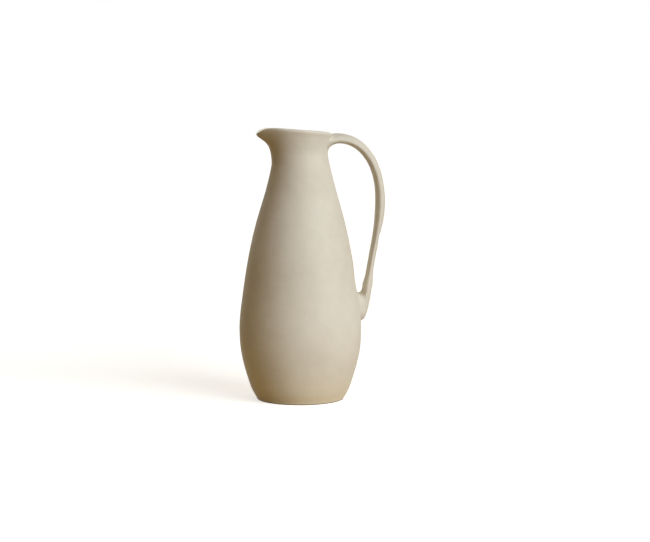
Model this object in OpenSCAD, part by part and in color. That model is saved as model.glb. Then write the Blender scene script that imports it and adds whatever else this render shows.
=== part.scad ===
// Ceramic jug: a thrown body with a pulled spout, and a pulled strap handle that stands on it in two
// joints of soft clay. Lengths are in millimetres. The origin is the middle of the foot on the table,
// +Z is up, the spout points to -X and the handle to +X.

/* [Body] */
// Height of the rim above the table, over the jug's axis
body_h = 300; // [285:1:320]
// Radius of the foot
foot_r = 48; // [44:0.5:53]
// Radius of the belly where it is widest
belly_r = 67.9; // [64:0.1:73]
// Height of the belly's widest place
belly_z = 76; // [68:1:86]
// Radius of the neck where it is narrowest
neck_r = 30.4; // [28:0.2:33]
// Drop from the rim to the neck's narrowest place
neck_drop = 25; // [22:1:29]
// Radius of the rim, to the outside of the lip
rim_r = 35.4; // [34:0.2:39]
// Thickness of the wall
wall = 4.5; // [3.5:0.1:6]
// Thickness of the floor
floor_t = 7; // [5:0.5:9]
// Thickness of the rolled lip
lip_t = 4; // [3:0.1:5]
// Radius of the corner between floor and wall, inside
corner_r = 14; // [8:1:18]

/* [Foot] */
// Width of the ring that the jug stands on
foot_ring = 8; // [5:0.5:12]
// Depth of the turned hollow inside the foot ring
foot_hollow = 1.6; // [0.8:0.1:3]
// Bevel round the foot's outer edge
foot_bevel = 1.4; // [0.8:0.1:2.5]

/* [Spout] */
// Drop from the rim to where the spout begins to leave the neck
spout_drop = 38; // [34:1:44]
// How far the groove of the spout is drawn out, at the rim
groove_pull = 8.6; // [5:0.2:11]
// How far the beak is drawn out beyond the groove
beak_pull = 5.6; // [3:0.2:9]
// Rise of the rim on the spout's side, and its fall on the handle's side
rim_rise = 1.9; // [0:0.1:4]
// How far the rim is pressed down over the handle
rim_dip = 2.2; // [0:0.1:3]
// Droop of the beak's tip below the rim
tip_droop = 6; // [2:0.1:8]

/* [Handle] */
// Width of the strap
strap_w = 25; // [20:0.5:28]
// Thickness of the strap at the neck
neck_t = 10.8; // [9:0.1:12]
// Thickness of the strap where it stands out most
strap_t = 9.5; // [8:0.1:11]
// Thickness of the strap at its waist, above the lower joint
waist_t = 6; // [5.5:0.1:8.5]
// Thickness of the strap where it runs into the lower joint
joint_t = 7.4; // [6.5:0.1:9]
// Distance from the jug's axis to the strap's middle line where it stands out most
handle_reach = 91.6; // [86:0.1:98]
// Height at which the strap stands out most
handle_z = 218.5; // [208:0.5:228]
// Drop from the rim to the strap's middle line at the neck
handle_drop = 9.2; // [8.4:0.1:10.4]
// How far the arch rises before it falls
arch_lift = 2.6; // [0:0.1:3]
// How far the strap runs straight out of the neck before it arches
stub = 7.4; // [6:0.2:9]
// Height at which the strap runs into the lower joint
low_z = 124; // [116:1:130]
// Gap between the belly and the strap's middle line there
low_gap = 13.3; // [12:0.1:15]
// How deep the belly is pressed in above the lower joint
press = 1.6; // [0:0.1:2.4]

/* [Joint clay] */
// Thickness of the clay's edge where it ends on the strap
clay_edge = 0.5; // [0.3:0.1:1]
// How far the upper clay reaches out along the strap
upper_reach = 15; // [12:0.5:18]
// Half the width of the upper clay on the neck
upper_half_w = 19; // [17:0.5:21]
// How far the upper clay runs down the neck, from the strap's middle line
upper_down = 18; // [15:0.5:21]
// Half the width of the lower clay on the belly
lower_half_w = 21; // [18:0.5:24]
// How far the lower clay runs down the belly, from where the strap meets it
lower_down = 40; // [35:1:45]

/* [Glaze] */
// Thickness of the glaze that lines the inside
glaze_t = 0.5; // [0.3:0.1:0.8]
// Drop from the rim to the glaze's upper edge in the neck
glaze_drop = 40; // [36:1:60]

/* [Hidden] */

// Points round the body, and how much closer they crowd together at the spout, in degrees
sides = 80;
crowd = 24;
// Points round the strap and round a joint's clay
strap_sides = 28;

// The outline between the foot and the belly, and between the belly and the neck:
// shares of the height and of the change of radius
lower_shares = [[0.12, 0.263], [0.36, 0.592], [0.76, 0.941]];
upper_shares = [[0.23, 0.885], [0.445, 0.7], [0.62, 0.49], [0.8, 0.216], [0.91, 0.075]];
// Slope of the outline at the lip, as a share of its slope over the mouth
flare_share = 1.25;
// Where the beak starts and is fully drawn, as shares of the spout's height
beak_shares = [0.57, 1.05];
// Angles from the spout at which groove and beak have faded to a third
groove_spread = 39;
beak_spread = 21;
// Half the angle over which the rim is pressed down, and how squarely the press ends
dip_spread = 36;
dip_power = 4;
// The pressed place: its half height, its rise above the lower joint and its half angle
press_half_h = 14;
press_rise = 8;
press_spread = 26;
// Handle's curve: the pull of each end of its arch and of its fall, as shares of their spans
arch_shares = [0.54, 0.68];
fall_shares = [0.265, 0.235, 0.365];
// Where the strap has thinned to its waist, as a share of its fall
waist_share = 0.65;
// The strap's root in the lower joint: its depth as a share of the clay's run down the belly, how far it
// keeps the strap's line as a share of the fall's last pull, and how much narrower it ends
root_share = 0.52;
root_pull_share = 0.4;
root_taper_share = 0.2;
// Share of the strap's thickness that is domed outwards, beyond its widest line
crown_share = 0.8;
// Depth to which the strap's ends and the clay are bedded below the skin before they are cut to it
bed = 4;
// Depth of the clay's outer edge below the skin, where it runs out on it
sink = 0.4;
// How the clay of each joint curves: along the strap, along the skin, and up from the skin at its end
upper_clay_shares = [0.55, 0.55, 0];
lower_clay_shares = [1, 0.55, 0.5];
// Depth of the round notch between the belly and the strap
notch = 9;
// How far a cut runs past what it cuts
over = 1;
// Cosine of the angle to each side of the handle that a cut to the jug's form covers
facing_share = 0.25;
// Steps of height up the wall, up the mouth, round the lip and round the inner corner
wall_steps = 25;
mouth_steps = 10;
lip_steps = 6;
corner_steps = 8;
// Steps along the strap's arch, its fall and its root, and along a joint's clay
arch_steps = 18;
fall_steps = 16;
root_steps = 5;
clay_steps = 9;

neck_z = body_h - neck_drop;
spout_z = body_h - spout_drop;
lip_z = body_h - lip_t / 2;
glaze_z = body_h - glaze_drop;
strap_z = body_h - handle_drop;

// A smooth curve through the body's few named rings, as [height, radius]
rings = concat(
    [[0, foot_r]],
    [for (s = lower_shares) [s[0] * belly_z, foot_r + s[1] * (belly_r - foot_r)]],
    [[belly_z, belly_r]],
    [for (s = upper_shares) [belly_z + s[0] * (neck_z - belly_z), neck_r + s[1] * (belly_r - neck_r)]],
    [[neck_z, neck_r], [lip_z, rim_r]]
);
last_ring = len(rings) - 1;

function rise(i) = (rings[i + 1][1] - rings[i][1]) / (rings[i + 1][0] - rings[i][0]);
function run(i) = rings[i + 1][0] - rings[i][0];
function slope(i) =
    i == 0 ? rise(0) :
    i == last_ring ? rise(last_ring - 1) * flare_share :
    (rise(i - 1) * run(i) + rise(i) * run(i - 1)) / (run(i - 1) + run(i));

// Radius of the thrown outline at a height, before the spout is pulled
function thrown(z, i = 0) =
    i < last_ring - 1 && z > rings[i + 1][0] ? thrown(z, i + 1) :
    let (t = (z - rings[i][0]) / run(i), u = 1 - t)
    u * u * (1 + 2 * t) * rings[i][1] + t * t * (3 - 2 * t) * rings[i + 1][1]
    + t * u * run(i) * (u * slope(i) - t * slope(i + 1));

function clamp(v) = min(1, max(0, v));
function ease(v) = let (t = clamp(v)) t * t * (3 - 2 * t);
function bell(v, spread) = exp(-pow(v / spread, 2));
function unit(v) = v / norm(v);

// A point of the thrown wall, at radius r, height z and angle a from the handle, after the potter has
// pulled the spout, let the tip droop and pressed the belly above the lower joint
function pulled(r, z, a) =
    let (
        h = clamp((z - spout_z) / (lip_z - spout_z)),
        off = 180 - abs(a > 180 ? a - 360 : a),
        beak = ease((h - beak_shares[0]) / (beak_shares[1] - beak_shares[0])) * bell(off, beak_spread),
        groove = h * bell(off, groove_spread),
        thumb = bell(z - low_z - press_rise, press_half_h) * bell(180 - off, press_spread),
        out = r + groove_pull * groove + beak_pull * beak - press * thumb,
        dip = h * h * exp(-pow((180 - off) / dip_spread, dip_power)),
        lift = -rim_rise * h * out / rim_r * cos(a) - tip_droop * beak - rim_dip * dip
    )
    [out * cos(a), out * sin(a), z + lift];

around = [for (i = [0 : sides - 1]) let (a = 360 * i / sides) a + crowd * sin(a)];
function wall_ring(r, z) = [for (a = around) pulled(r, z, a)];

wall_heights = [for (i = [0 : wall_steps]) foot_bevel + (spout_z - foot_bevel) * i / wall_steps];
mouth_heights = [for (i = [1 : mouth_steps]) spout_z + (lip_z - spout_z) * i / mouth_steps];
outer_heights = concat(wall_heights, mouth_heights);
throat_bottom = glaze_z - lip_t;
throat_heights = [for (i = [0 : mouth_steps]) lip_z + (throat_bottom - lip_z) * i / mouth_steps];

// The throat's clay stands level with the glaze below it, and thins towards the lip
function throat_wall(z) =
    let (h = clamp((z - glaze_z) / (lip_z - glaze_z)))
    (wall + glaze_t) * (1 - h) + lip_t * h;

foot_edge = [wall_ring(foot_r - foot_bevel, 0)];
outer_rings = [for (z = outer_heights) wall_ring(thrown(z), z)];
lip_angles = [for (i = [1 : lip_steps - 1]) 180 * i / lip_steps];
function lip_r(a) = rim_r - lip_t / 2 * (1 - cos(a));
function lip_height(a) = lip_z + lip_t / 2 * sin(a);
lip_rings = [for (a = lip_angles) wall_ring(lip_r(a), lip_height(a))];
throat_rings = [for (z = throat_heights) wall_ring(thrown(z) - throat_wall(z), z)];

function middle(ring) = [for (k = [0 : 2]) [for (p = ring) p[k]] * [for (p = ring) 1] / len(ring)];

// A closed skin over a list of rings, with a fan over each end
module loft(hoops) {
    n = len(hoops[0]);
    last = (len(hoops) - 1) * n;
    low = len(hoops) * n;
    high = low + 1;
    points = concat([for (hoop = hoops) each hoop], [middle(hoops[0]), middle(hoops[len(hoops) - 1])]);
    walls = [for (i = [0 : len(hoops) - 2], j = [0 : n - 1])
        let (a = i * n + j, b = i * n + (j + 1) % n)
        each [[a, a + n, b], [b, a + n, b + n]]];
    ends = [for (j = [0 : n - 1]) let (k = (j + 1) % n) each [[low, j, k], [high, last + k, last + j]]];
    polyhedron(points = points, faces = concat(walls, ends), convexity = 8);
}

// The hollow of the jug below the throat, drawn in by a lining's thickness
module hollow(lining, top) {
    r = corner_r - lining;
    low = floor_t + lining;
    corner_z = low + r;
    side = thrown(corner_z) - wall - lining - r;
    rotate_extrude($fn = sides)
        polygon(concat(
            [[0, low]],
            [for (i = [0 : corner_steps]) let (a = 90 * i / corner_steps)
                [side + r * sin(a), corner_z - r * cos(a)]],
            [for (i = [1 : wall_steps]) let (z = corner_z + (glaze_z - corner_z) * i / wall_steps)
                [thrown(z) - wall - lining, z]],
            [[thrown(glaze_z) - wall - lining, top], [0, top]]
        ));
}

// The side of the jug's outer form that faces the handle, between two heights. The handle and the clay
// are cut to it, so it has the body's own rings. Over the lip's crest it goes straight up.
facing = [for (a = around) if (cos(a) > facing_share) a > 180 ? a - 360 : a];
function facing_ring(r, z) = concat(
    [[0, 0, z]],
    [for (a = facing) if (a < 0) pulled(r, z, a)],
    [for (a = facing) if (a >= 0) pulled(r, z, a)]
);
module form(from_z, to_z) {
    loft(concat(
        [for (z = outer_heights) if (z >= from_z && z <= to_z) facing_ring(thrown(z), z)],
        to_z < body_h ? [] : [for (a = lip_angles) if (a <= 90) facing_ring(lip_r(a), lip_height(a))],
        to_z < body_h ? [] : [[for (p = facing_ring(lip_r(90), body_h)) p + [0, 0, 2 * over]]]
    ));
}

module body() {
    color("#d8cdb6")
        difference() {
            loft(concat(foot_edge, outer_rings, lip_rings, throat_rings));
            hollow(0, glaze_z);
            translate([0, 0, -over])
                cylinder(r = foot_r - foot_bevel - foot_ring, h = foot_hollow + over, $fn = sides);
        }
}

// The handle's middle line: an arch from the neck, a fall to the lower joint and a root in the belly
low_x = thrown(low_z) + low_gap;
arch_x = neck_r + stub;
arch = [
    [arch_x, strap_z],
    [arch_x + (handle_reach - arch_x) * arch_shares[0], strap_z + arch_lift],
    [handle_reach, handle_z + (strap_z - handle_z) * arch_shares[1]],
    [handle_reach, handle_z]
];
fall = [
    [handle_reach, handle_z],
    [handle_reach, handle_z + (low_z - handle_z) * fall_shares[0]],
    [low_x + (handle_reach - low_x) * fall_shares[1], low_z + (handle_z - low_z) * fall_shares[2]],
    [low_x, low_z]
];
root_z = low_z - lower_down * root_share;
root = [
    [low_x, low_z],
    [low_x, low_z] + (fall[3] - fall[2]) * root_pull_share,
    [thrown(root_z) + low_gap / 3, root_z + low_gap / 2],
    [thrown(root_z) - bed, root_z]
];

function bezier(p, t) =
    let (u = 1 - t)
    u * u * u * p[0] + 3 * u * u * t * p[1] + 3 * u * t * t * p[2] + t * t * t * p[3];
function heading(p, t) =
    let (u = 1 - t)
    unit(u * u * (p[1] - p[0]) + 2 * u * t * (p[2] - p[1]) + t * t * (p[3] - p[2]));

// The strap's section across a curve: nearly flat towards the hand's gap, and domed outwards
function section(p, t, w, thick) =
    let (c = bezier(p, t), d = heading(p, t), out = [-d[1], d[0]])
    [for (i = [0 : strap_sides - 1])
        let (
            a = 360 * i / strap_sides,
            widest = thick * (0.5 - crown_share),
            depth = thick * (sin(a) > 0 ? crown_share : 1 - crown_share),
            reach = widest + depth * sin(a)
        )
        [c[0] + out[0] * reach, w / 2 * cos(a), c[1] + out[1] * reach]];

// The strap thins from the neck to its waist, and thickens again into the lower joint
function arch_t(t) = neck_t + (strap_t - neck_t) * ease(t);
function fall_t(t) =
    strap_t + (waist_t - strap_t) * ease(t / waist_share)
    + (joint_t - waist_t) * ease((t - waist_share) / (1 - waist_share));

strap_rings = concat(
    [[for (p = section(arch, 0, strap_w, neck_t)) p - [stub + bed, 0, 0]]],
    [for (i = [0 : arch_steps]) let (t = i / arch_steps) section(arch, t, strap_w, arch_t(t))],
    [for (i = [1 : fall_steps]) let (t = i / fall_steps) section(fall, t, strap_w, fall_t(t))],
    [for (i = [1 : root_steps]) let (t = i / root_steps)
        section(root, t, strap_w * (1 - t * root_taper_share), joint_t)]
);

module strap() {
    loft(strap_rings);
}

module handle() {
    color("#d2c6ae")
        difference() {
            strap();
            form(spout_z, body_h);
            form(root_z - 2 * lower_down, low_z + lower_down / 2);
        }
}

// A point on the jug's skin, a way round from the handle's middle plane, sunk by a depth
function on_skin(z, way, depth) = pulled(thrown(z) - depth, z, way / thrown(z) * 180 / PI);

// The outward normal of the skin there, and the direction in the skin from one point towards another
function normal_at(p) =
    let (z = p[2], s = thrown(z + over) - thrown(z - over))
    unit([p[0] / norm([p[0], p[1]]), p[1] / norm([p[0], p[1]]), -s / (2 * over)]);
function along_skin(p, q) = let (n = normal_at(p), d = q - p) unit(d - (d * n) * n);

// Clay smoothed from a section of the strap down to an oval on the skin. It leaves the strap along the
// strap's own line and runs out on the skin. The first share is how far it keeps the strap's line, the
// second how far it keeps to the skin, and the third how steeply its outer end rises from the skin.
// The lower clay goes on down, as the strap does. The upper clay runs back against the strap, so its
// hoops are taken in the other order.
module smoothed_clay(start, way, oval, heart, shares, least) {
    n = len(start);
    curves = [for (j = [0 : n - 1])
        let (
            d = oval[j] - start[j],
            down = d * way,
            across = norm(d - down * way),
            steep = shares[2] * max(0, sin(360 * j / n)),
            rising = unit((1 - steep) * along_skin(oval[j], heart) + steep * normal_at(oval[j]))
        )
        [
            start[j],
            start[j] + way * max(shares[0] * down, least[j]),
            oval[j] + rising * max(shares[1] * across, least[j]),
            oval[j]
        ]];
    plug = [for (p = oval) let (k = 1 - bed / norm([p[0], p[1]])) [p[0] * k, p[1] * k, p[2]]];
    hoops = concat([for (i = [0 : clay_steps]) [for (c = curves) bezier(c, i / clay_steps)]], [plug]);
    loft(way[2] < 0 ? hoops : [for (i = [1 : len(hoops)]) hoops[len(hoops) - i]]);
}

// The oval's points, from the strap's section angle: half_w to each side, and down or up the skin
function oval_on_skin(z, half_w, outer_side, inner_side) =
    [for (i = [0 : strap_sides - 1])
        let (a = 360 * i / strap_sides, s = sin(a), dz = s * (s > 0 ? outer_side : inner_side))
        on_skin(min(z + dz, lip_z), half_w * cos(a), sink)];

upper_at = (upper_reach - stub) / (3 * arch_shares[0] * (handle_reach - arch_x));

module upper_joint_clay() {
    start = section(arch, upper_at, strap_w + 2 * clay_edge, arch_t(upper_at) + 2 * clay_edge);
    oval = oval_on_skin(strap_z - handle_drop / 2, upper_half_w, handle_drop, upper_down - handle_drop / 2);
    color("#d6cab2")
        difference() {
            smoothed_clay(start, [-1, 0, 0], oval, on_skin(strap_z, 0, 0), upper_clay_shares,
                [for (p = start) clay_edge]);
            strap();
            form(spout_z, body_h);
        }
}

module lower_joint_clay() {
    start = section(fall, 1, strap_w + 2 * clay_edge, joint_t + 2 * clay_edge);
    d = heading(fall, 1);
    middle_z = low_z - lower_down / 2;
    oval = oval_on_skin(middle_z, lower_half_w, -lower_down / 2, -lower_down / 2);
    color("#d6cab2")
        difference() {
            smoothed_clay(start, [d[0], 0, d[1]], oval, on_skin(middle_z, 0, 0), lower_clay_shares,
                [for (i = [0 : strap_sides - 1]) notch * max(0, -sin(360 * i / strap_sides)) + clay_edge]);
            strap();
            form(root_z - 2 * lower_down, low_z + lower_down / 2);
        }
}

module liner_glaze() {
    color("#8f8a74")
        difference() {
            hollow(0, glaze_z);
            hollow(glaze_t, glaze_z + over);
        }
}

body();
handle();
upper_joint_clay();
lower_joint_clay();
liner_glaze();
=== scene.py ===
# A ceramic jug with a pulled spout and a strap handle, on a plain pale floor.
# The jug stands on the origin, +Z is up, the spout points to -X and the handle to +X.
import bmesh
import bpy
import math
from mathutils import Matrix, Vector, noise


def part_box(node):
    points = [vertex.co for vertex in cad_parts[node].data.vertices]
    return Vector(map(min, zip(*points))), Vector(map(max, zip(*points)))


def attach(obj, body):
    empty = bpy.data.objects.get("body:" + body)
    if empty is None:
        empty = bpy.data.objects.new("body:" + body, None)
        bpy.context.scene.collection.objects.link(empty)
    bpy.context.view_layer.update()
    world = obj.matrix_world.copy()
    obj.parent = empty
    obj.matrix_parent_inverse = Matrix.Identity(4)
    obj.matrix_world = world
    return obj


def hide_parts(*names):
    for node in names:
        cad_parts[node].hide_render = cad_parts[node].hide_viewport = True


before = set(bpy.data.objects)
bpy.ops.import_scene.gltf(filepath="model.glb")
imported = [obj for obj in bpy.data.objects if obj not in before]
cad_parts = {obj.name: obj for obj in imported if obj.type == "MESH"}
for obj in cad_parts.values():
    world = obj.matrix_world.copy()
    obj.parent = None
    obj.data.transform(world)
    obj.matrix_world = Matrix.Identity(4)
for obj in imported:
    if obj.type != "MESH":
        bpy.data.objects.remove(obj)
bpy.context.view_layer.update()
print("frame loaded with", len(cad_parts), "nodes")

# Pieces are modelled in millimetres and brought to metres when they are finished. Points that lie
# closer together than the merge distance become one, and points this close to the axis stay on it.
metresPerMm = 0.001
mergeMm = 0.001
axisMm = 0.01
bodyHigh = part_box("body")[1] / metresPerMm


# Small helpers for curves and blends
def clamp(v):
    return min(1.0, max(0.0, v))


def ease(v):
    t = clamp(v)
    return t * t * (3 - 2 * t)


def bell(v, spread):
    return math.exp(-(v / spread) ** 2)


def bezier(points, t):
    u = 1 - t
    shares = (3 * u * u * t, 3 * u * t * t, t * t * t)
    return sum((share * point for share, point in zip(shares, points[1:])), u * u * u * points[0])


def bezierHeading(points, t):
    u = 1 - t
    way = u * u * (points[1] - points[0]) + 2 * u * t * (points[2] - points[1])
    return (way + t * t * (points[3] - points[2])).normalized()


# The thrown form: radii and heights in millimetres, and the outline's shares between them
thrownForm = {
    "rimHeight": 300,
    "footRadius": 48,
    "bellyRadius": bodyHigh.y + 0.25,
    "bellyHeight": 76,
    "neckRadius": 30.4,
    "neckHeight": 275,
    "rimRadius": 35.4,
    "wall": 4.5,
    "lip": 4.0,
    "glaze": 0.5,
    "glazeHeight": 260,
    "floor": 7,
    "cornerRadius": 14,
    "lowerShares": ((0.12, 0.263), (0.36, 0.592), (0.76, 0.941)),
    "upperShares": ((0.23, 0.886), (0.445, 0.702), (0.62, 0.493), (0.8, 0.221), (0.91, 0.077)),
    "flareShare": 1.25,
}
lipHeight = thrownForm["rimHeight"] - thrownForm["lip"] / 2


def outlineRings(form):
    foot, belly, neck = form["footRadius"], form["bellyRadius"], form["neckRadius"]
    bellyZ, neckZ = form["bellyHeight"], form["neckHeight"]
    rings = [(0.0, foot)]
    rings += [(s * bellyZ, foot + q * (belly - foot)) for s, q in form["lowerShares"]]
    rings += [(bellyZ, belly)]
    rise = neckZ - bellyZ
    rings += [(bellyZ + s * rise, neck + q * (belly - neck)) for s, q in form["upperShares"]]
    return rings + [(neckZ, neck), (lipHeight, form["rimRadius"])]


# The outline's rings, the gap and slope between each two, and the slope at each ring
rings = outlineRings(thrownForm)
gaps = [(b[0] - a[0], (b[1] - a[1]) / (b[0] - a[0])) for a, b in zip(rings, rings[1:])]
slopes = [gaps[0][1]]
slopes += [(a[1] * b[0] + b[1] * a[0]) / (a[0] + b[0]) for a, b in zip(gaps, gaps[1:])]
slopes += [gaps[-1][1] * thrownForm["flareShare"]]


# Radius of the thrown outline at a height, before the spout is pulled
def thrown(z):
    i = 0
    while i < len(gaps) - 1 and z > rings[i + 1][0]:
        i += 1
    span = gaps[i][0]
    t = (z - rings[i][0]) / span
    u = 1 - t
    ends = u * u * (1 + 2 * t) * rings[i][1] + t * t * (3 - 2 * t) * rings[i + 1][1]
    return ends + t * u * span * (u * slopes[i] - t * slopes[i + 1])


# What the potter's fingers did to the thrown form: the spout with its thinned lip and drooping tip, the
# rim pressed down over the handle, the lip's bead, the press above the lower joint, the neck's slight
# lean and the wobble of the clay. Spreads round the jug are in degrees.
shaping = {
    "spoutBottom": 262,
    "groovePull": 8.6,
    "grooveSpread": 50,
    "beakPull": 5.2,
    "beakSpread": 21,
    "beakShares": (0.44, 1.05),
    "rimRise": 2.6,
    "tipDroop": 7.1,
    "droopPower": 1.5,
    "spoutThin": 0.5,
    "thinSpread": 45,
    "thinFrom": 280,
    "rimDip": 1.0,
    "dipSpread": 36,
    "bead": 0.55,
    "beadHeight": 297.4,
    "beadHalf": 2.2,
    "underBead": 0.35,
    "underHeight": 293.4,
    "underHalf": 2.0,
    "beadDepth": 3,
    "beadFull": 60,
    "beadFade": 90,
    "press": 1.6,
    "pressHeight": 132,
    "pressHalfHeight": 14,
    "pressSpread": 26,
    "lean": 0.9,
    "leanHeight": 238,
    "leanHalfHeight": 40,
    "wobble": 0.16,
    "wobbleSize": 46,
    "wobbleFull": 12,
}


# A point of the thrown form, at a radius, a height and an angle from the handle, after that shaping
def pulled(r, z, angle):
    s = shaping
    away = abs((math.degrees(angle) + 180) % 360 - 180)
    fromSpout = 180 - away
    skin = thrown(min(z, lipHeight))
    h = clamp((z - s["spoutBottom"]) / (lipHeight - s["spoutBottom"]))
    start, full = s["beakShares"]
    beak = ease((h - start) / (full - start)) * bell(fromSpout, s["beakSpread"])
    groove = h * bell(fromSpout, s["grooveSpread"])
    thumb = bell(z - s["pressHeight"], s["pressHalfHeight"]) * bell(away, s["pressSpread"])
    outside = ease((r - skin + s["beadDepth"]) / s["beadDepth"])
    outside *= 1 - ease((away - s["beadFull"]) / s["beadFade"])
    bead = s["bead"] * bell(z - s["beadHeight"], s["beadHalf"])
    bead -= s["underBead"] * bell(z - s["underHeight"], s["underHalf"])
    thinned = s["spoutThin"] * bell(fromSpout, s["thinSpread"])
    thinned *= ease((z - s["thinFrom"]) / (lipHeight - s["thinFrom"]))
    r += thinned * max(0, skin - r)
    out = r + s["groovePull"] * groove + s["beakPull"] * beak - s["press"] * thumb + bead * outside
    lift = -s["rimRise"] * h * out / thrownForm["rimRadius"] * math.cos(angle)
    lift -= s["tipDroop"] * beak ** s["droopPower"]
    lift -= s["rimDip"] * h * h * math.exp(-(away / s["dipSpread"]) ** 4)
    lean = s["lean"] * bell(z - s["leanHeight"], s["leanHalfHeight"])
    return Vector((out * math.cos(angle) + lean, out * math.sin(angle), z + lift))


# A point on the jug's outer skin, a way round from the handle's middle plane, sunk by a depth
def onSkin(z, way, depth):
    return pulled(thrown(z) - depth, z, way / thrown(z))


def skinNormal(point):
    slope = (thrown(point.z + 1) - thrown(point.z - 1)) / 2
    out = Vector((point.x, point.y, 0)).normalized()
    return Vector((out.x, out.y, -slope)).normalized()


def alongSkin(point, target):
    normal = skinNormal(point)
    way = target - point
    return (way - way.dot(normal) * normal).normalized()


# Slow unevenness of hand-worked clay, from soft noise in space, so that pieces that touch move alike
def wobbled(point):
    push = noise.noise(point / shaping["wobbleSize"]) * shaping["wobble"]
    flat = Vector((point.x, point.y, 0))
    fade = ease(point.z / shaping["wobbleFull"])
    return point + flat.normalized() * push * fade if flat.length > 1 else point


# Brings a bmesh to metres and makes it a piece that rides on the jug and replaces its CAD node
def finishPiece(bm, name, node, material):
    bmesh.ops.remove_doubles(bm, verts=bm.verts, dist=mergeMm)
    bmesh.ops.recalc_face_normals(bm, faces=bm.faces)
    bmesh.ops.scale(bm, vec=(metresPerMm,) * 3, verts=bm.verts)
    for face in bm.faces:
        face.smooth = True
    mesh = bpy.data.meshes.new(name)
    bm.to_mesh(mesh)
    bm.free()
    piece = bpy.data.objects.new(name, mesh)
    bpy.context.scene.collection.objects.link(piece)
    mesh.materials.append(material)
    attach(piece, "root")
    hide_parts(node)
    print(name, "has", len(mesh.polygons), "faces")


# Turns a chain of [radius, height] points round the jug's axis
def turned(outline, sides):
    bm = bmesh.new()
    verts = [bm.verts.new((r, 0, z)) for r, z in outline]
    edges = [bm.edges.new(pair) for pair in zip(verts, verts[1:])]
    whole = {"cent": (0, 0, 0), "axis": (0, 0, 1), "angle": 2 * math.pi, "use_merge": True}
    bmesh.ops.spin(bm, geom=verts + edges, steps=sides, **whole)
    bmesh.ops.remove_doubles(bm, verts=bm.verts, dist=mergeMm)
    return bm


# Even steps after the start, up to the end
def steps(start, end, count):
    return [start + (end - start) * i / count for i in range(1, count + 1)]


def arc(centre, radius, fromDegrees, toDegrees, count):
    turns = [math.radians(a) for a in steps(fromDegrees, toDegrees, count)]
    return [(centre[0] + radius * math.cos(a), centre[1] + radius * math.sin(a)) for a in turns]


# A tube made from a cylinder, whose points are placed by their angle round it and their row along it
def tube(sides, rows, place):
    bm = bmesh.new()
    bmesh.ops.create_cone(bm, cap_ends=True, segments=sides, radius1=1, radius2=1, depth=1)
    lengthwise = [e for e in bm.edges if abs(e.verts[0].co.z - e.verts[1].co.z) > 0.5]
    bmesh.ops.subdivide_edges(bm, edges=lengthwise, cuts=rows - 1, use_grid_fill=True)
    for vert in bm.verts:
        vert.co = wobbled(place(math.atan2(vert.co.y, vert.co.x), round((vert.co.z + 0.5) * rows)))
    return bm


# Sockets as numbers: sums written in Python add their Math nodes
class Flow:
    def __init__(self, tree, socket):
        self.tree = tree
        self.socket = socket

    def maths(self, operation, first, second):
        node = self.tree.nodes.new("ShaderNodeMath")
        node.operation = operation
        plug(self.tree, node.inputs[0], first)
        plug(self.tree, node.inputs[1], second)
        return Flow(self.tree, node.outputs[0])

    def __add__(self, other):
        return self.maths("ADD", self, other)

    def __radd__(self, other):
        return self.maths("ADD", other, self)

    def __sub__(self, other):
        return self.maths("SUBTRACT", self, other)

    def __rsub__(self, other):
        return self.maths("SUBTRACT", other, self)

    def __mul__(self, other):
        return self.maths("MULTIPLY", self, other)

    def __rmul__(self, other):
        return self.maths("MULTIPLY", other, self)


def plug(tree, slotIn, value):
    if isinstance(value, Flow):
        tree.links.new(value.socket, slotIn)
    else:
        slotIn.default_value = value


# A node tree to fill, with one method that adds any node
class Recipe:
    def __init__(self, owner):
        owner.use_nodes = True
        self.owner = owner
        self.tree = owner.node_tree
        self.tree.nodes.clear()

    def node(self, kind, settings=None, sockets=None, out=0):
        node = self.tree.nodes.new("ShaderNode" + kind)
        for key, value in (settings or {}).items():
            setattr(node, key, value)
        for key, value in (sockets or {}).items():
            plug(self.tree, node.inputs[key], value)
        return Flow(self.tree, node.outputs[out]) if node.outputs else self.owner

    def noise(self, size, detail, roughness=0.5):
        place = self.node("TexCoord", out="Object")
        sockets = {"Vector": place, "Scale": 1 / (size * metresPerMm)}
        return self.node("TexNoise", None, {**sockets, "Detail": detail, "Roughness": roughness})

    def height(self):
        place = self.node("TexCoord", out="Object")
        return self.node("SeparateXYZ", None, {0: place}, out="Z") * (1 / metresPerMm)

    def fade(self, value, start, end):
        settings = {"interpolation_type": "SMOOTHSTEP"}
        return self.node("MapRange", settings, {"Value": value, "From Min": start, "From Max": end})

    def mixed(self, factor, a, b):
        return self.node("Mix", {"data_type": "RGBA"}, {0: factor, 6: a, 7: b}, out=2)

    def tinted(self, colour, shade):
        grey = self.node("CombineColor", None, {0: shade, 1: shade, 2: shade})
        settings = {"data_type": "RGBA", "blend_type": "MULTIPLY"}
        return self.node("Mix", settings, {0: 1.0, 6: colour, 7: grey}, out=2)

    def bump(self, height, depthMm, before=None):
        sockets = {"Height": height, "Distance": depthMm * metresPerMm, "Strength": 1.0}
        if before:
            sockets["Normal"] = before
        return self.node("Bump", None, sockets)


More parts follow.
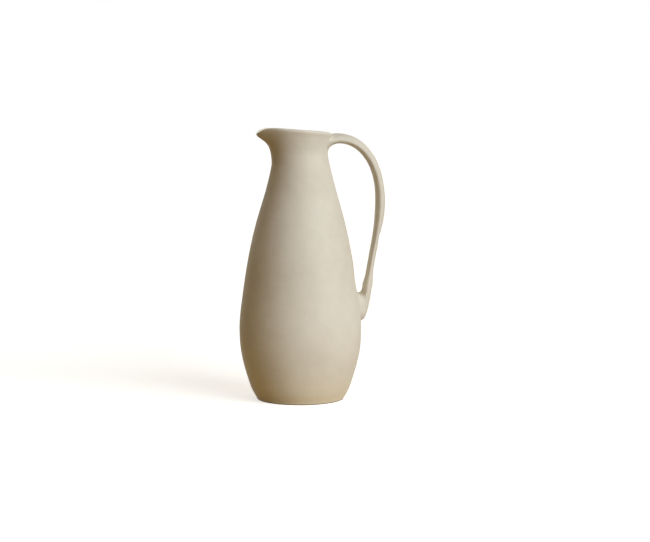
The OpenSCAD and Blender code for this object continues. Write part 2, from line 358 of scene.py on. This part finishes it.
# Cream clay, matte, with faint cloudy patches, fine throwing lines and a dry grain. It is paler at the
# lip, painted warmer low on the wall as warm bounce light, and painted dark at the foot's edge as a
# contact shadow. Pairs of heights are where a change starts and where it is full. Sizes, depths and
# heights are in millimetres.
clayLook = {
    "cream": (0.700, 0.650, 0.550, 1),
    "shaded": (0.660, 0.600, 0.500, 1),
    "lip": (0.745, 0.690, 0.590, 1),
    # Painted bounce light: warmer clay low on the wall stands in for warm light bounced up from below
    "paintedBounce": (0.665, 0.595, 0.455, 1),
    # Painted contact shadow: the dark tone at the foot's edge stands in for the shade where the jug
    # meets the floor
    "foot": (0.200, 0.150, 0.100, 1),
    "lipHeights": (295.0, 299.0),
    "paintedBounceHeights": (45.0, 0.0),
    "footHeights": (1.7, 0.5),
    "patchSize": 70,
    "patchEdges": (0.35, 0.7),
    "cloudsPerPatch": 6,
    "cloudSpread": 0.11,
    "grainSize": 1.1,
    "grainSpread": 0.03,
    "grainDepth": 0.035,
    "lineSpacing": 6.5,
    "lineDepth": 0.02,
    "lineWaver": 1.2,
    "handDepth": 0.25,
    "roughness": 0.62,
    "patchRoughness": 0.12,
    "grainRoughness": 0.1,
    "specular": 0.3,
}
# The length in metres after which the wave texture repeats at a scale of 1
waveRepeat = 0.314


def clayMaterial(name, look, lines, marks):
    r = Recipe(bpy.data.materials.new(name))
    patches = r.noise(look["patchSize"], 2)
    clouds = r.noise(look["patchSize"] / look["cloudsPerPatch"], 3)
    grain = r.noise(look["grainSize"], 3, 0.6)
    colour = r.mixed(r.fade(patches, *look["patchEdges"]), look["cream"], look["shaded"])
    # By height: the paler lip, painted warm bounce light low on the wall and a painted contact shadow
    # at the foot's edge
    if marks:
        z = r.height()
        for mark in ("lip", "paintedBounce", "foot"):
            colour = r.mixed(r.fade(z, *look[mark + "Heights"]), colour, look[mark])
    shade = 1 + (clouds - 0.5) * look["cloudSpread"] + (grain - 0.5) * look["grainSpread"]
    colour = r.tinted(colour, shade)
    normal = r.bump(clouds, look["handDepth"])
    if lines:
        rings = r.node(
            "TexWave",
            {"wave_type": "BANDS", "bands_direction": "Z"},
            {
                "Vector": r.node("TexCoord", out="Object"),
                "Scale": waveRepeat / (look["lineSpacing"] * metresPerMm),
                "Distortion": look["lineWaver"],
                "Detail": 2.0,
                "Detail Scale": 1.5,
            },
            out="Fac",
        )
        normal = r.bump(rings, look["lineDepth"], normal)
    normal = r.bump(grain, look["grainDepth"], normal)
    roughness = look["roughness"] + (patches - 0.5) * look["patchRoughness"]
    roughness = roughness + (grain - 0.5) * look["grainRoughness"]
    sockets = {"Base Color": colour, "Roughness": roughness, "Normal": normal}
    sockets["Specular IOR Level"] = look["specular"]
    r.node("OutputMaterial", None, {"Surface": r.node("BsdfPrincipled", None, sockets)})
    return r.owner


# The lining's glaze: satin, a little darker and warmer than the clay, and darker towards the floor
# along a wavering line
glazeLook = {
    "thin": (0.560, 0.500, 0.390, 1),
    "lowTone": (0.430, 0.385, 0.290, 1),
    "rippleSize": 14,
    "rippleDepth": 0.12,
    "lowToneHeights": (150.0, 20.0),
    "lowToneWaver": 60.0,
    "speckSize": 2.2,
    "speckEdges": (0.62, 0.74),
    "speckDepth": 0.25,
    "roughness": 0.26,
    "rippleRoughness": 0.1,
}


def glazeMaterial(name, look):
    r = Recipe(bpy.data.materials.new(name))
    z = r.height()
    ripple = r.noise(look["rippleSize"], 2)
    specks = r.noise(look["speckSize"], 2)
    depth = r.fade(z + (ripple - 0.5) * look["lowToneWaver"], *look["lowToneHeights"])
    colour = r.mixed(depth, look["thin"], look["lowTone"])
    colour = r.tinted(colour, 1 - look["speckDepth"] * r.fade(specks, *look["speckEdges"]))
    roughness = look["roughness"] + (ripple - 0.5) * look["rippleRoughness"]
    sockets = {"Base Color": colour, "Roughness": roughness}
    sockets["Normal"] = r.bump(ripple, look["rippleDepth"])
    r.node("OutputMaterial", None, {"Surface": r.node("BsdfPrincipled", None, sockets)})
    return r.owner


# The joints' clay was smeared by hand, so it is less even, and it is painted a little darker as shade
# on the pad and the collar
smearAndShade = {"cream": (0.662, 0.613, 0.516, 1), "shaded": (0.628, 0.570, 0.474, 1), "handDepth": 0.5}

bodyClay = clayMaterial("bodyClay", clayLook, lines=True, marks=True)
handleClay = clayMaterial("handleClay", clayLook, lines=False, marks=False)
jointClay = clayMaterial("jointClay", {**clayLook, **smearAndShade}, lines=False, marks=False)
linerGlaze = glazeMaterial("linerGlaze", glazeLook)
print("materials ready")

# The body: one outline turned round the axis, from the hollow under the foot over the lip to the floor
bodyMesh = {
    "sides": 176,
    "crowd": 24,
    "wallRows": 118,
    "throatRows": 18,
    "innerRows": 70,
    "lipSteps": 12,
    "cornerSteps": 12,
    "ring": 8,
    "hollow": 1.6,
    "edge": 1.4,
    "innerEdge": 0.7,
    "ledgeDrop": 0.3,
}


# The throat's clay stands level with the glaze below it, and thins towards the lip
def throatRadius(z):
    f = thrownForm
    h = clamp((z - f["glazeHeight"]) / (lipHeight - f["glazeHeight"]))
    return thrown(z) - (f["wall"] + f["glaze"]) * (1 - h) - f["lip"] * h


# The hollow of the jug below the throat, from its top edge down to the middle of the floor
def hollowOutline(lining, rows):
    f = thrownForm
    r = f["cornerRadius"] - lining
    low = f["floor"] + lining
    corner = low + r
    wall = [(thrown(z) - f["wall"] - lining, z) for z in steps(f["glazeHeight"], corner, rows)]
    middle = (thrown(corner) - f["wall"] - lining - r, corner)
    bend = arc(middle, r, 0, -90, bodyMesh["cornerSteps"])
    return wall + bend + [(middle[0] * s, low) for s in (0.75, 0.5, 0.25, 0)]


def bodyOutline(form, mesh):
    foot, edge, lip = form["footRadius"], mesh["edge"], form["lip"] / 2
    ringIn = foot - mesh["edge"] - mesh["ring"]
    under = [(ringIn * s, mesh["hollow"]) for s in (0, 0.3, 0.6, 0.9)]
    under += [(ringIn - mesh["innerEdge"], mesh["hollow"])]
    under += arc((ringIn, mesh["innerEdge"]), mesh["innerEdge"], 180, 270, 4)
    base = [(ringIn + mesh["ring"] * s, 0) for s in (0.4, 0.8)]
    base += arc((thrown(edge) - edge, edge), edge, -90, 0, 6)
    wall = [(thrown(z), z) for z in steps(edge, lipHeight, mesh["wallRows"])]
    rolled = arc((form["rimRadius"] - lip, lipHeight), lip, 0, 180, mesh["lipSteps"])
    glazeTop = form["glazeHeight"]
    throat = [(throatRadius(z), z) for z in steps(lipHeight, glazeTop, mesh["throatRows"])]
    ledge = [(throatRadius(glazeTop) + form["glaze"], glazeTop - mesh["ledgeDrop"])]
    return under + base + wall + rolled + throat + ledge + hollowOutline(0, mesh["innerRows"])


# Turns an outline, crowds its points towards the spout and pulls them as the wet clay was pulled
def thrownPiece(outline, mesh):
    bm = turned(outline, mesh["sides"])
    for vert in bm.verts:
        r = math.hypot(vert.co.x, vert.co.y)
        angle = math.atan2(vert.co.y, vert.co.x)
        angle += math.radians(mesh["crowd"]) * math.sin(angle)
        if r > axisMm:
            vert.co = wobbled(pulled(r, vert.co.z, angle))
    return bm


bodyForm = thrownPiece(bodyOutline(thrownForm, bodyMesh), bodyMesh)
finishPiece(bodyForm, "jugBody", "body", bodyClay)

# The lining: a thin skin of glaze that sits a hair inside the wall's face and ends in a round edge
linerEdge = {
    "sunk": 0.15,
    "edgeDrop": 0.35,
    "edgeSteps": 5,
}


def linerOutline(form, s, rows):
    top = form["glazeHeight"]
    inner = hollowOutline(form["glaze"], rows)
    outer = hollowOutline(-s["sunk"], rows)
    edge = form["glaze"] / 2
    centre = (thrown(top) - form["wall"] - edge, top - s["edgeDrop"])
    return outer[::-1] + arc(centre, edge, 0, 180, s["edgeSteps"]) + inner


linerForm = thrownPiece(linerOutline(thrownForm, linerEdge, bodyMesh["innerRows"]), bodyMesh)
finishPiece(linerForm, "linerGlaze", "liner_glaze", linerGlaze)

# The strap: pulled from a lug of clay, with an oval section that is turned a little on its way. Each
# touch of a finger has its face (1 outer, -1 inner), its height, its spread and its push away from the
# jug. Rows are counted along the stub in the neck, the arch, the fall and the root on the belly.
strap = {
    "width": 25,
    "neckThick": 10.7,
    "thick": 10.1,
    "waist": 7.2,
    "waistShare": 0.65,
    "jointThick": 8.2,
    "crown": 0.55,
    "twist": math.radians(8),
    "touches": (
        (1, 181, 8, -0.9),
        (1, 129, 9, 1.2),
        (-1, 213, 26, -1.1),
        (-1, 168, 22, -0.55),
        (-1, 125, 8, -2.0),
    ),
    "reach": 91.6,
    "reachHeight": 218.5,
    "height": 290.6,
    "archLift": 3.3,
    "stub": 7.4,
    "lowHeight": 124,
    "lowGap": 13.3,
    "archPull": (0.54, 0.68),
    "fallPull": (0.265, 0.235, 0.365),
    "rootDepth": 20.8,
    "rootPull": 0.4,
    "rootTaper": 0.2,
    "bed": 2.4,
    "sides": 80,
    "rows": (5, 44, 60, 14),
}
lowX = thrown(strap["lowHeight"]) + strap["lowGap"]
archX = thrownForm["neckRadius"] + strap["stub"]


# The strap's middle line as three curves in the jug's middle plane: the arch, the fall and the root
def strapCurves(s):
    pullOut, pullUp = s["archPull"]
    out, top, turn, low = s["reach"], s["height"], s["reachHeight"], s["lowHeight"]
    arch = [
        Vector((archX, top)),
        Vector((archX + (out - archX) * pullOut, top + s["archLift"])),
        Vector((out, turn + (top - turn) * pullUp)),
        Vector((out, turn)),
    ]
    down, inward, up = s["fallPull"]
    fall = [
        Vector((out, turn)),
        Vector((out, turn + (low - turn) * down)),
        Vector((lowX + (out - lowX) * inward, low + (turn - low) * up)),
        Vector((lowX, low)),
    ]
    end = low - s["rootDepth"]
    root = [
        fall[3],
        fall[3] + (fall[3] - fall[2]) * s["rootPull"],
        Vector((thrown(end) + s["lowGap"] / 3, end + s["lowGap"] / 2)),
        Vector((thrown(end) - s["bed"], end)),
    ]
    return arch, fall, root


arch, fall, root = strapCurves(strap)


# The strap thins from the neck to its waist, and thickens again into the lower joint
def archThick(t):
    return strap["neckThick"] + (strap["thick"] - strap["neckThick"]) * ease(t)


def fallThick(t):
    s = strap
    share = s["waistShare"]
    thinned = s["thick"] + (s["waist"] - s["thick"]) * ease(t / share)
    return thinned + (s["jointThick"] - s["waist"]) * ease((t - share) / (1 - share))


# How far the fingers pushed a point of the strap, by its height and how far it lies to a face
def touched(z, side):
    total = 0
    for face, height, spread, push in strap["touches"]:
        total += push * bell(z - height, spread) * max(0, face * side)
    return total


def turnedBy(turn, out, side):
    c, s = math.cos(turn), math.sin(turn)
    return out * c + side * s, side * c - out * s


# A point of the strap's section across its curve
def sectionPoint(curve, t, width, thick, angle):
    middle = bezier(curve, t)
    heading = bezierHeading(curve, t)
    crown = strap["crown"]
    depth = crown if math.sin(angle) > 0 else 1 - crown
    reach = thick * (0.5 - crown + depth * math.sin(angle)) + touched(middle.y, math.sin(angle))
    out, side = turnedBy(strap["twist"], reach, width / 2 * math.cos(angle))
    return Vector((middle.x - heading.y * out, side, middle.y + heading.x * out))


def rootPoint(t, thin, angle):
    width = strap["width"] * (1 - t * strap["rootTaper"]) - thin
    return sectionPoint(root, t, width, strap["jointThick"] - thin, angle)


# Keeps a point that goes into the jug from coming out on the wall's inner side
def bedded(point, depth):
    angle = math.atan2(point.y, point.x)
    skin = pulled(thrown(min(point.z, lipHeight)), point.z, angle)
    deepest = math.hypot(skin.x, skin.y) - depth
    r = math.hypot(point.x, point.y)
    if r > deepest:
        return point
    return Vector((point.x * deepest / r, point.y * deepest / r, point.z))


def strapPoint(angle, row):
    s = strap
    stubRows, archRows, fallRows, rootRows = s["rows"]
    if row <= stubRows:
        point = sectionPoint(arch, 0, s["width"], s["neckThick"], angle)
        return bedded(point - Vector((s["stub"] * (1 - row / stubRows), 0, 0)), s["bed"])
    if row <= stubRows + archRows:
        t = (row - stubRows) / archRows
        return sectionPoint(arch, t, s["width"], archThick(t), angle)
    row -= stubRows + archRows
    if row <= fallRows:
        return sectionPoint(fall, row / fallRows, s["width"], fallThick(row / fallRows), angle)
    return bedded(rootPoint((row - fallRows) / rootRows, 0, angle), s["bed"])


strapForm = tube(strap["sides"], sum(strap["rows"]), strapPoint)
finishPiece(strapForm, "strapHandle", "handle", handleClay)

# What both joints share: the power that keeps the sides' rise to the patch's sides, the shortest pull
# of the clay's curves in millimetres, and how soon the rows under the skin reach their full depth
sidePower = 3
leastPull = 0.5
bedPace = 3


# Clay smoothed from the strap down to a patch on the skin. The patch's outline is an oval between its
# outer and its inner end, made fuller or leaner by a power for each half. The rows then go on under
# the skin to the patch's middle, so that the piece is closed inside the wall.
def jointPiece(joint, start, name, node):
    heart = onSkin(joint["heart"], 0, joint["sink"])
    clayRows, bedRows = joint["rows"], joint["bedRows"]
    outerPower, innerPower = joint["powers"]

    def patchPoint(angle, size, depth):
        power = outerPower if math.sin(angle) > 0 else innerPower
        c = math.copysign(abs(math.cos(angle)) ** power, math.cos(angle))
        s = math.copysign(abs(math.sin(angle)) ** power, math.sin(angle))
        z = joint["middle"] + size * s * (joint["outer"] if s > 0 else joint["inner"])
        return onSkin(min(z, lipHeight), size * joint["halfWidth"] * c, depth)

    def place(angle, row):
        if row > clayRows:
            k = (row - clayRows) / bedRows
            depth = joint["sink"] + (joint["bed"] - joint["sink"]) * ease(bedPace * k)
            return patchPoint(angle, 1 - k, depth)
        first, way = start(angle)
        last = patchPoint(angle, 1, joint["sink"])
        span = last - first
        down = span.dot(way)
        across = (span - down * way).length
        side = abs(math.cos(angle)) ** sidePower
        steep = joint["outerRise"] * max(0, math.sin(angle)) + joint["sideRise"] * side
        rising = ((1 - steep) * alongSkin(last, heart) + steep * skinNormal(last)).normalized()
        least = joint["notch"] * max(0, -math.sin(angle)) + leastPull
        pull = [
            first,
            first + way * max(joint["keepWay"] * down, least),
            last + rising * max(joint["keepSkin"] * across, least),
            last,
        ]
        return bezier(pull, row / clayRows)

    bm = tube(joint["sides"], clayRows + bedRows, place)
    finishPiece(bm, name, node, jointClay)


# The upper joint: a collar of clay on the neck, pressed out along the strap
upperJoint = {
    "reach": 15,
    "middle": strap["height"] - 4,
    "heart": strap["height"],
    "halfWidth": 20,
    "outer": 10.4,
    "inner": 13.5,
    "powers": (0.65, 1),
    "sink": 0.3,
    "bed": 2.0,
    "keepWay": 0.55,
    "keepSkin": 0.7,
    "outerRise": 0,
    "sideRise": 0.1,
    "notch": 0,
    "thin": 0.3,
    "sides": 96,
    "rows": 30,
    "bedRows": 8,
}
# Where the collar leaves the strap, as a share of the arch, whose start goes straight out
archStart = 3 * strap["archPull"][0] * (strap["reach"] - archX)
upperAt = (upperJoint["reach"] - strap["stub"]) / archStart


def upperStart(angle):
    width = strap["width"] - upperJoint["thin"]
    thick = archThick(upperAt) - upperJoint["thin"]
    return sectionPoint(arch, upperAt, width, thick, angle), Vector((-1, 0, 0))


jointPiece(upperJoint, upperStart, "upperJointClay", "upper_joint_clay")

# The lower joint: a thumbed pad on the belly, with a round notch under the strap's inner side. It takes
# the strap lower down at its edges than at its middle, and leaves it between the way of the strap's
# middle line and the way of its face.
lowerJoint = {
    "middle": strap["lowHeight"] - 20,
    "heart": strap["lowHeight"] - 20,
    "halfWidth": 23.5,
    "outer": -18.0,
    "inner": -21.5,
    "powers": (1, 1.4),
    "sink": 0.3,
    "bed": 2.4,
    "keepWay": 0.92,
    "keepSkin": 0.62,
    "outerRise": 0.72,
    "sideRise": 0,
    "notch": 8.2,
    "sideStart": 0.28,
    "outerStart": 0.03,
    "faceShare": 0.35,
    "faceStep": 0.03,
    "thin": 0.12,
    "sides": 112,
    "rows": 34,
    "bedRows": 8,
}
lowHeading = bezierHeading(fall, 1)
fallWay = Vector((lowHeading.x, 0, lowHeading.y))


def lowerStart(angle):
    j = lowerJoint
    t = j["sideStart"] * math.cos(angle) ** 2 + j["outerStart"] * max(0, math.sin(angle))
    first = rootPoint(t, j["thin"], angle)
    faceWay = (rootPoint(t + j["faceStep"], j["thin"], angle) - first).normalized()
    return first, fallWay.lerp(faceWay, j["faceShare"]).normalized()


jointPiece(lowerJoint, lowerStart, "lowerJointClay", "lower_joint_clay")
print("jug ready")

# The studio: a pale floor that reads white to the camera, keeps a soft shadow and throws warm light up
# near the jug, and a surround that is white to the camera and a faint warm light to the rest. Sizes
# and distances are in metres.
studio = {
    "floorSize": 60,
    "floorSeen": (0.90, 0.90, 0.90, 1),
    "floorLift": 0.62,
    "floorNear": (0.52, 0.32, 0.04, 1),
    "floorFar": (0.30, 0.18, 0.02, 1),
    "toneReach": (0.1, 0.6),
    "ambient": (0.14, 0.080, 0.020, 1),
}
# Light as from a wide window on the right, a faint one from behind on the left, a soft one from above,
# and one opposite the camera that shows the back. Each has its way from the jug on plan, its rise and
# its spread in degrees.
lights = {
    "windowLight": {
        "away": (0.574, -0.819),
        "rise": 16,
        "spread": 50,
        "power": 3.34,
        "colour": (0.86, 0.93, 0.985),
    },
    "backLight": {
        "away": (-0.500, 0.866),
        "rise": 22,
        "spread": 60,
        "power": 0.37,
        "colour": (0.66, 0.86, 0.84),
    },
    "topLight": {
        "away": (0.6, -0.8),
        "rise": 75,
        "spread": 70,
        "power": 0.28,
        "colour": (0.95, 0.98, 1.0),
    },
    "behindLight": {
        "away": (0.174, 0.985),
        "rise": 3,
        "spread": 8,
        "power": 1.7,
        "colour": (1.0, 0.99, 0.96),
    },
}
lampDistance = 3


# 1 for the rays that show a surface, directly or in a mirror or glass, and 0 for the rays that light it
def seenDirectly(r):
    rays = r.node("LightPath").socket.node.outputs
    kinds = ("Is Camera Ray", "Is Glossy Ray", "Is Transmission Ray")
    seen, mirrored, through = (Flow(r.tree, rays[kind]) for kind in kinds)
    total = seen + mirrored + through
    total.socket.node.use_clamp = True
    return total


def makeFloor(s):
    bm = bmesh.new()
    bmesh.ops.create_grid(bm, x_segments=1, y_segments=1, size=s["floorSize"] / 2)
    mesh = bpy.data.meshes.new("studioFloor")
    bm.to_mesh(mesh)
    bm.free()
    floor = bpy.data.objects.new("studioFloor", mesh)
    bpy.context.scene.collection.objects.link(floor)
    r = Recipe(bpy.data.materials.new("floorPaper"))
    place = r.node("TexCoord", out="Object")
    far = r.node("VectorMath", {"operation": "LENGTH"}, {0: place}, out="Value")
    warmth = r.mixed(r.fade(far, *s["toneReach"]), s["floorNear"], s["floorFar"])
    tone = r.node("BsdfDiffuse", None, {"Color": warmth})
    paper = r.node("BsdfDiffuse", None, {"Color": s["floorSeen"]})
    glow = r.node("Emission", None, {"Color": (1, 1, 1, 1), "Strength": s["floorLift"]})
    lifted = r.node("AddShader", None, {0: paper, 1: glow})
    shown = r.node("MixShader", None, {0: seenDirectly(r), 1: tone, 2: lifted})
    r.node("OutputMaterial", None, {"Surface": shown})
    mesh.materials.append(r.owner)


def makeSurround(s):
    world = bpy.data.worlds.new("softSurround")
    bpy.context.scene.world = world
    r = Recipe(world)
    white = r.node("Background", None, {"Color": (1, 1, 1, 1), "Strength": 1.0})
    soft = r.node("Background", None, {"Color": s["ambient"], "Strength": 1.0})
    shown = r.node("MixShader", None, {0: seenDirectly(r), 1: soft, 2: white})
    r.node("OutputWorld", None, {"Surface": shown})


# A far, soft light, so that floor and jug are lit evenly
def makeLight(name, s):
    rise = math.radians(s["rise"])
    away = Vector((*s["away"], 0)).normalized() * math.cos(rise) + Vector((0, 0, math.sin(rise)))
    lamp = bpy.data.lights.new(name, "SUN")
    lamp.angle = math.radians(s["spread"])
    lamp.energy = s["power"]
    lamp.color = s["colour"]
    light = bpy.data.objects.new(name, lamp)
    bpy.context.scene.collection.objects.link(light)
    light.location = away * lampDistance
    light.rotation_mode = "QUATERNION"
    light.rotation_quaternion = away.to_track_quat("Z", "Y")


makeFloor(studio)
makeSurround(studio)
for name, values in lights.items():
    makeLight(name, values)

# The camera stands level with the rim, looks a little down, and has the jug left of the middle. Lens
# and sensor are in millimetres, turns in degrees, and distance and height in metres.
camera = {
    "lens": 88.6,
    "sensor": 36,
    "azimuth": 10,
    "distance": 1.7784,
    "height": 0.300,
    "tiltDown": 5.036,
    "turnRight": 0.888,
}


def makeCamera(c):
    eye = bpy.data.cameras.new("photoCamera")
    eye.lens = c["lens"]
    eye.sensor_width = c["sensor"]
    seat = bpy.data.objects.new("photoCamera", eye)
    bpy.context.scene.collection.objects.link(seat)
    bearing = math.radians(c["azimuth"])
    away = c["distance"]
    seat.location = (-away * math.sin(bearing), -away * math.cos(bearing), c["height"])
    turn = math.radians(c["azimuth"] + c["turnRight"])
    seat.rotation_euler = (math.radians(90 - c["tiltDown"]), 0, -turn)
    bpy.context.scene.camera = seat


makeCamera(camera)
bpy.context.scene.view_settings.view_transform = "Standard"
print("studio ready")
